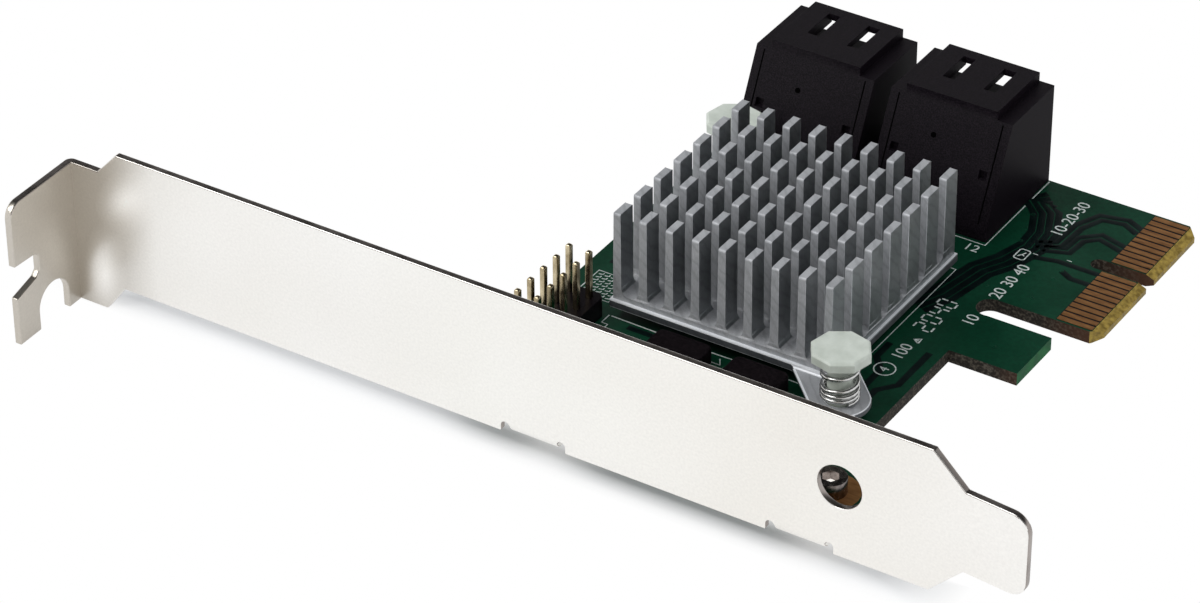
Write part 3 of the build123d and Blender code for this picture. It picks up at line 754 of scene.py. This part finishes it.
gold = new_finish("contact_gold", (0.5, 0.33, 0.15), metallic=0.85, roughness=0.45)
gold_rub = grain(gold, 0.4 * mm, detail=3, stretch=(0.25, 1, 1))
gold_tint = steps(gold, gold_rub, (0.3, (0.39, 0.17, 0.058)), (0.7, (0.6, 0.3, 0.11)))
colour_from(gold, gold_tint)
roughness_from(gold, gold_rub, 0.35, 0.55)
relief(gold, gold_rub, 0.01 * mm, 0.4)
for node in ("edge_contacts_top", "edge_contacts_bottom", "screw_lands"):
    finish_with(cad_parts[node], gold)

bare_gap = moulded("bare_gap", (0.006, 0.004, 0.003), (0.02, 0.013, 0.008), 0.6, 0.3 * mm)
board_bottom = 0.86 * mm
gap_x = 100.85 * mm
gap_size = (4.4 * mm, 0.02 * mm)
gap_strips = []
for low_y, high_y in ((46.5, 57.3), (59.5, 70.35)):
    for level in (board_top, board_bottom):
        pick_nothing()
        middle = (gap_x, (low_y + high_y) / 2 * mm, level)
        bpy.ops.mesh.primitive_cube_add(size=1, location=middle)
        strip = bpy.context.object
        strip.scale = (gap_size[0], (high_y - low_y) * mm, gap_size[1])
        gap_strips.append(strip)
bare_gaps = joined(gap_strips, "bare_gaps")
bare_gaps.data.materials.append(bare_gap)
detail_of(bare_gaps)

# Small parts on the board.
# Moulded chips, pressed ferrite inductors, fired ceramic capacitors with tinned ends, chip
# resistors, and a crystal in a metal can, all soldered to the upper side.
resin = moulded("chip_resin", (0.012, 0.012, 0.014), (0.04, 0.04, 0.045), 0.6)
ferrite = moulded(
    "pressed_ferrite", (0.004, 0.0025, 0.0035), (0.013, 0.009, 0.011), 0.65, 0.3 * mm, shine=0.06
)
tin = plated("tinned_metal", (0.5, 0.5, 0.49), (0.75, 0.75, 0.74), 0.35)
ceramic = moulded("fired_ceramic", (0.2, 0.12, 0.06), (0.32, 0.21, 0.12), 0.5)
soft_pad = moulded("soft_pad", (0.25, 0.3, 0.36), (0.4, 0.45, 0.5), 0.8)
for node, finish in (
    ("controller_chip", resin), ("thermal_pad", soft_pad), ("inductor_terminals", tin),
    ("flash_leads", tin), ("regulator_leads", tin),
):
    finish_with(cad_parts[node], finish)
for node, name, finish, width in (
    ("inductor_left", "left_inductor", ferrite, 0.35 * mm),
    ("inductor_right", "right_inductor", ferrite, 0.35 * mm),
    ("flash_chip", "flash_memory", resin, 0.06 * mm), ("regulator", "voltage_regulator", resin, 0.05 * mm),
    ("crystal", "crystal_can", tin, 0.12 * mm),
):
    part = eased(merged_copy(node, name), width)
    finish_with(part, finish)
    stands_for(part, node)

for node, name, finish, width, axis, cap in (
    ("ceramic_capacitors", "capacitor_row", ceramic, 0.1 * mm, 1, 0.2 * mm),
    ("resistors", "resistor_row", resin, 0.05 * mm, 0, 0.1 * mm),
):
    part = eased(merged_copy(node, name), width)
    finish_with(part, finish, tin)
    low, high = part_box(node)
    for face in part.data.polygons:
        if min(face.center[axis] - low[axis], high[axis] - face.center[axis]) < cap:
            face.material_index = 1
    stands_for(part, node)

# Heatsink.
# An extruded and cross-cut aluminium block: a base plate with two diagonal ears, and 63 fins that
# rise from round channels in the block. The plate's walls take painted shade, its rim a painted highlight.
fin_columns = 9
fin_rows = 7
fin_pitch_x = 3.29 * mm
fin_pitch_y = 4.1 * mm
fin_thickness = 0.95 * mm
fin_root = 1.08 * mm
fin_tip = 0.9 * mm
fin_length = 2.6 * mm
plate_top = 4.78 * mm
wall_top = plate_top - 0.2 * mm
channel_floor = 5.38 * mm
channel_round = 1.0 * mm
fin_top = 15.88 * mm
sink_left = 57.49 * mm
sink_front = 21.47 * mm
sink_width = (fin_columns - 1) * fin_pitch_x + fin_thickness
sink_length = (fin_rows - 1) * fin_pitch_y + fin_length


def cut_metal(name, dark, light, metallic, rough):
    """Bare aluminium with clouds, fine pits and the slanting marks of a saw."""
    finish = new_finish(name, light, metallic=metallic, roughness=rough)
    clouds = grain(finish, 5 * mm, detail=3)
    pits = grain(finish, 0.12 * mm, detail=2, stretch=(1, 1, 0.25))
    saw = add_node(finish, "ShaderNodeTexWave", bands_direction="DIAGONAL")
    saw.inputs["Scale"].default_value = 0.35 / mm
    saw.inputs["Distortion"].default_value = 6.0
    saw.inputs["Detail"].default_value = 3.0
    wire(finish, place_on(finish), saw.inputs["Vector"])
    tint = steps(finish, clouds, (0.3, dark), (0.7, light))
    shade = steps(finish, pits, (0.3, 0.82), (0.7, 1.0))
    marks = steps(finish, saw.outputs["Fac"], (0.0, 0.86), (0.35, 1.0))
    worn = blend_colours(finish, 1.0, tint, shade, "MULTIPLY")
    colour_from(finish, blend_colours(finish, 1.0, worn, marks, "MULTIPLY"))
    roughness_from(finish, pits, rough - 0.07, rough + 0.07)
    relief(finish, pits, 0.012 * mm, 0.4)
    relief(finish, saw.outputs["Fac"], 0.006 * mm, 0.3)
    return finish


sawn = cut_metal("sawn_aluminium", (0.43, 0.44, 0.46), (0.55, 0.56, 0.58), 0.35, 0.5)
drawn = cut_metal("extruded_aluminium", (0.31, 0.33, 0.345), (0.42, 0.44, 0.455), 0.85, 0.36)
# Painted light on the base plate: a bright finish on its rim stands in for a highlight, and a dark finish on
# its walls stands in for shade.
rim_highlight = plated("rim_painted_highlight", (0.78, 0.8, 0.83), (0.9, 0.915, 0.94), 0.35, 2 * mm)
shader_of(rim_highlight).inputs["Metallic"].default_value = 0.2
shaded_edge = cut_metal("wall_painted_shade", (0.07, 0.075, 0.083), (0.12, 0.128, 0.138), 0.4, 0.55)


def cut_level(piece, level):
    """Drops what lies above a level and closes the cut with one face."""
    pick_only(piece)
    bpy.ops.object.mode_set(mode="EDIT")
    bpy.ops.mesh.select_all(action="SELECT")
    bpy.ops.mesh.bisect(plane_co=(0, 0, level), plane_no=(0, 0, 1), clear_outer=True)
    bpy.ops.mesh.select_mode(type="EDGE")
    bpy.ops.mesh.select_all(action="DESELECT")
    bpy.ops.mesh.select_non_manifold(extend=False)
    bpy.ops.mesh.edge_face_add()
    bpy.ops.object.mode_set(mode="OBJECT")
    return settled(piece)


def grown(piece, rise, scale):
    """The face that is selected in edit mode goes up by a rise and is scaled about its middle."""
    bpy.ops.mesh.extrude_region_move(TRANSFORM_OT_translate={"value": (0, 0, rise)})
    bpy.ops.transform.resize(value=(*scale, 1))


fin_x = sink_left + fin_thickness / 2
fin_y = sink_front + fin_length / 2
pick_nothing()
bpy.ops.mesh.primitive_plane_add(size=1, location=(fin_x, fin_y, channel_floor))
fins = bpy.context.object
fins.name = "fins"
fins.scale = (fin_pitch_x, fin_pitch_y, 1)
bpy.ops.object.transform_apply(location=False, rotation=False, scale=True)
bpy.ops.object.mode_set(mode="EDIT")
bpy.ops.mesh.select_all(action="SELECT")
wide_x, wide_y = fin_pitch_x, fin_pitch_y
round_steps = 5
for step in range(1, round_steps + 1):
    angle = step / round_steps * pi / 2
    spread_x = fin_root + (fin_pitch_x - fin_root) * (1 - sin(angle))
    spread_y = fin_length + (fin_pitch_y - fin_length) * (1 - sin(angle))
    rise = channel_round * (cos((step - 1) / round_steps * pi / 2) - cos(angle))
    grown(fins, rise, (spread_x / wide_x, spread_y / wide_y))
    wide_x, wide_y = spread_x, spread_y
grown(fins, fin_top - channel_floor - channel_round, (fin_tip / fin_root, 1))
bpy.ops.mesh.select_mode(type="FACE")
bpy.ops.mesh.select_all(action="DESELECT")
bpy.ops.object.mode_set(mode="OBJECT")
bpy.ops.object.transform_apply(location=True, rotation=False, scale=False)
for face in fins.data.polygons:
    face.select = abs(face.normal.z) > 0.9 and face.center.z < channel_floor + near
bpy.ops.object.mode_set(mode="EDIT")
bpy.ops.mesh.delete(type="FACE")
bpy.ops.object.mode_set(mode="OBJECT")
settled(fins)
fin_ends = fins.data.attributes.new("bevel_weight_edge", "FLOAT", "EDGE")
for edge in fins.data.edges:
    first, second = (fins.data.vertices[index].co for index in edge.vertices)
    if min(first.z, second.z) > fin_top - near:
        short = abs(first.y - second.y) < 0.1 * mm
        fin_ends.data[edge.index].value = 1.0 if short else 0.25
    elif max(first.z, second.z) > fin_top - near:
        fin_ends.data[edge.index].value = 0.25
rounding = fins.modifiers.new("fin_ends", "BEVEL")
rounding.limit_method = "WEIGHT"
rounding.width = 0.36 * mm
rounding.segments = 3
bpy.context.view_layer.objects.active = fins
bpy.ops.object.modifier_apply(modifier=rounding.name)
for axis, count, pitch in ((0, fin_columns, fin_pitch_x), (1, fin_rows, fin_pitch_y)):
    row = fins.modifiers.new("row", "ARRAY")
    row.count = count
    row.use_relative_offset = False
    row.use_constant_offset = True
    row.constant_offset_displace = (pitch, 0, 0) if axis == 0 else (0, pitch, 0)
    row.use_merge_vertices = True
    row.merge_threshold = 0.004 * mm
    bpy.ops.object.modifier_apply(modifier=row.name)
bpy.ops.object.mode_set(mode="EDIT")
bpy.ops.mesh.select_all(action="SELECT")
bpy.ops.mesh.remove_doubles(threshold=0.01 * mm)
bpy.ops.mesh.select_mode(type="EDGE")
bpy.ops.mesh.select_all(action="DESELECT")
bpy.ops.mesh.select_non_manifold(extend=False)
skirt = {"value": (0, 0, plate_top - 0.05 * mm - channel_floor)}
bpy.ops.mesh.extrude_edges_move(TRANSFORM_OT_translate=skirt)
bpy.ops.mesh.edge_face_add()
bpy.ops.mesh.select_mode(type="VERT")
bpy.ops.object.mode_set(mode="OBJECT")
settled(fins)
for vertex in fins.data.vertices:
    vertex.co.x = min(max(vertex.co.x, sink_left), sink_left + sink_width)
    vertex.co.y = min(max(vertex.co.y, sink_front), sink_front + sink_length)
bpy.ops.object.mode_set(mode="EDIT")
bpy.ops.mesh.select_all(action="SELECT")
bpy.ops.mesh.remove_doubles(threshold=0.002 * mm)
bpy.ops.mesh.dissolve_degenerate(threshold=0.001 * mm)
bpy.ops.object.mode_set(mode="OBJECT")
settled(fins)

base = merged_copy("heatsink", "base_plate")
eased(cut_level(base, plate_top - 0.002 * mm), 0.2 * mm, segments=2)
sink = eased(joined([base, fins], "pin_fin_heatsink"), 0)
finish_with(sink, sawn, drawn, rim_highlight, shaded_edge)
# The base plate's walls take the painted-shade finish, and its rim and top take the painted-highlight
# finish.
for face in sink.data.polygons:
    if abs(face.normal.x) > 0.8:
        face.material_index = 3 if face.center.z < wall_top else 1
    elif abs(face.normal.z) < 0.3 and face.center.z < wall_top:
        face.material_index = 3
    elif face.center.z < plate_top + near and 0.3 < face.normal.z < 0.97:
        face.material_index = 2
    elif abs(face.center.z - plate_top) < 0.02 * mm and face.normal.z > 0.9:
        face.material_index = 2
stands_for(sink, "heatsink")

# Push pins and springs.
# Two nylon pins with eight-sided heads press the heatsink down through steel coil springs, with
# closed coils below and open coils above; their barbs lock under the board.
nylon = new_finish("natural_nylon", (0.56, 0.6, 0.55), roughness=0.42, specular=0.4)
nylon_cloud = grain(nylon, 1.5 * mm, detail=3)
colour_from(nylon, steps(nylon, nylon_cloud, (0.3, (0.5, 0.54, 0.48)), (0.7, (0.62, 0.66, 0.6))))
roughness_from(nylon, nylon_cloud, 0.36, 0.5)
relief(nylon, nylon_cloud, 0.02 * mm, 0.3)
pins = eased(merged_copy("push_pins", "nylon_pins"), 0.16 * mm, segments=3)
finish_with(pins, nylon)
stands_for(pins, "push_pins")

spring_steel = plated("spring_steel", (0.5, 0.5, 0.49), (0.72, 0.72, 0.71), 0.22)
spring_low, spring_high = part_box("springs")
wire_thickness = 0.55 * mm
coil_radius = 1.925 * mm
coil_rises = (0.0, 0.09, 0.2, 0.33, 0.7, 1.0)
coil_turns = (0.0, 0.8, 1.8, 2.8, 3.9, 4.8)
coil_start = -0.6
points_per_turn = 20


def coil_level(turn):
    """Share of the spring's height at a turn: closed coils first, then open ones."""
    for index in range(len(coil_turns) - 1):
        if turn <= coil_turns[index + 1]:
            part = (turn - coil_turns[index]) / (coil_turns[index + 1] - coil_turns[index])
            return coil_rises[index] + part * (coil_rises[index + 1] - coil_rises[index])
    return 1.0


coil_bottom = spring_low[2] + wire_thickness / 2
coil_height = spring_high[2] - spring_low[2] - wire_thickness
spring_reach = coil_radius + wire_thickness / 2
spring_spots = (
    (spring_high[0] - spring_reach, spring_low[1] + spring_reach),
    (spring_low[0] + spring_reach, spring_high[1] - spring_reach),
)
coil_routes = []
for x, y in spring_spots:
    route = []
    for step in range(int(coil_turns[-1] * points_per_turn) + 1):
        turn = step / points_per_turn
        level = coil_bottom + coil_height * coil_level(turn)
        angle = turn * 2 * pi + coil_start
        route.append((x + coil_radius * cos(angle), y + coil_radius * sin(angle), level))
    coil_routes.append(route)
springs = settled(rods("coil_springs", coil_routes, wire_thickness / 2, 3))
bpy.ops.object.shade_smooth_by_angle(angle=radians(60))
finish_with(springs, spring_steel)
stands_for(springs, "springs")

# Stacked data connectors.
# Two black mouldings, each with two sockets one above the other, open to the rear edge. The back
# slopes, with side seams, two pockets and a gate mark; a latch recess lies under the roof windows.
socket_black = moulded(
    "socket_black", (0.003, 0.0022, 0.0035), (0.018, 0.013, 0.018), 0.45, 0.12 * mm, shine=0.09
)
# Painted shade: the +X side faces take a copy of the black with less shine and a slightly darker speck tone,
# so that side reads darker than the sloped back.
shaded_side_black = moulded(
    "shaded_side_black", (0.003, 0.0022, 0.0035), (0.015, 0.01, 0.015), 0.5, 0.12 * mm, shine=0.03
)
seam_black = moulded("seam_black", (0.0008, 0.0008, 0.0008), (0.002, 0.002, 0.002), 0.9, shine=0.0)
slope_top = (60.65 * mm, 15.13 * mm)
slope_foot = (55.46 * mm, 4.2 * mm)
slope_lean = (slope_top[0] - slope_foot[0]) / (slope_top[1] - slope_foot[1])
seam_width = 0.16 * mm
column_width = 1.1 * mm
gate_offset = -1.3 * mm
gate_level = 11.75 * mm
gate_radius = 0.32 * mm
seam_margin = 0.3 * mm
recess_offset = 7.925 * mm
recess_y = 67.4 * mm
recess_level = 14.7 * mm
recess_size = (7.6 * mm, 6.8 * mm, 1.4 * mm)


def slope_y(level):
    """How far back the sloped face is at a level."""
    return slope_foot[0] + slope_lean * (level - slope_foot[1])


def seam_strip(x, low, high):
    """A dark line that lies in the sloped face."""
    pick_nothing()
    middle = (low + high) / 2
    bpy.ops.mesh.primitive_cube_add(size=1, location=(x, slope_y(middle), middle))
    strip = bpy.context.object
    run = (high - low) * sqrt(1 + slope_lean ** 2)
    strip.scale = (seam_width, 0.03 * mm, run)
    strip.rotation_euler.x = -atan2(slope_lean, 1)
    return strip


for side in ("left", "right"):
    node = f"sata_housing_{side}"
    housing = merged_copy(node, f"data_connector_{side}")
    recess_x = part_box(node)[0][0] + recess_offset
    pick_nothing()
    bpy.ops.mesh.primitive_cube_add(size=1, location=(recess_x, recess_y, recess_level))
    recess = bpy.context.object
    recess.scale = recess_size
    settled(recess)
    hollow = housing.modifiers.new("latch_recess", "BOOLEAN")
    hollow.object = recess
    hollow.operation = "DIFFERENCE"
    hollow.solver = "EXACT"
    pick_only(housing)
    bpy.ops.object.modifier_apply(modifier=hollow.name)
    pick_only(recess)
    bpy.ops.object.delete()
    eased(settled(housing), 0.1 * mm)
    finish_with(housing, socket_black, shaded_side_black)
    for face in housing.data.polygons:
        face.material_index = 1 if face.normal.x > 0.9 else 0
    stands_for(housing, node)
    finish_with(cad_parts[f"sata_contacts_{side}"], gold)
    low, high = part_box(node)
    seams = [
        seam_strip(seam_x, slope_foot[1] + seam_margin, slope_top[1] - seam_margin)
        for seam_x in (low[0] + column_width, high[0] - column_width)
    ]
    pick_nothing()
    gate_x = (low[0] + high[0]) / 2 + gate_offset
    bpy.ops.mesh.primitive_cylinder_add(
        vertices=20, radius=gate_radius, depth=0.1 * mm,
        location=(gate_x, slope_y(gate_level), gate_level),
        rotation=(pi / 2 - atan2(slope_lean, 1), 0, 0),
    )
    seams.append(bpy.context.object)
    marks = joined(seams, f"moulding_marks_{side}")
    finish_with(marks, seam_black)
    detail_of(marks)

# Pin header.
# Ten square gold pins in a black moulding of five blocks, with pins cut and rounded at the tips.
header_gold = plated("header_gold", (0.34, 0.27, 0.16), (0.8, 0.69, 0.47), 0.2, 1.2 * mm)
header_black = moulded(
    "header_black", (0.004, 0.0025, 0.004), (0.011, 0.008, 0.011), 0.35, shine=0.08
)
header = eased(merged_copy("header_body", "header_block"), 0.08 * mm)
finish_with(header, header_black)
stands_for(header, "header_body")
posts = eased(merged_copy("header_pins", "header_posts"), 0.09 * mm)
finish_with(posts, header_gold)
stands_for(posts, "header_pins")

# Bracket screws.
# Two small dark steel screws with a hexagon recess; one shows through the round hole in the plate.
dark_steel = plated("dark_steel", (0.13, 0.11, 0.105), (0.3, 0.265, 0.25), 0.22)
# Painted glint: the recess floors glow faintly, standing in for a bright highlight there.
glowing_recess_glint = plated("glowing_recess_glint", (0.8, 0.79, 0.77), (0.95, 0.94, 0.93), 0.7, 0.3 * mm)
shader_of(glowing_recess_glint).inputs["Metallic"].default_value = 0.0
shader_of(glowing_recess_glint).inputs["Emission Color"].default_value = (1.0, 0.96, 0.9, 1)
shader_of(glowing_recess_glint).inputs["Emission Strength"].default_value = 0.9
screws = eased(merged_copy("bracket_screws", "socket_screws"), 0.08 * mm)
finish_with(screws, dark_steel, glowing_recess_glint)
head_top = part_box("bracket_screws")[1][2]
for face in screws.data.polygons:
    if face.normal.z > 0.9 and 0.3 * mm < head_top - face.center.z < 1.8 * mm:
        face.material_index = 1
stands_for(screws, "bracket_screws")
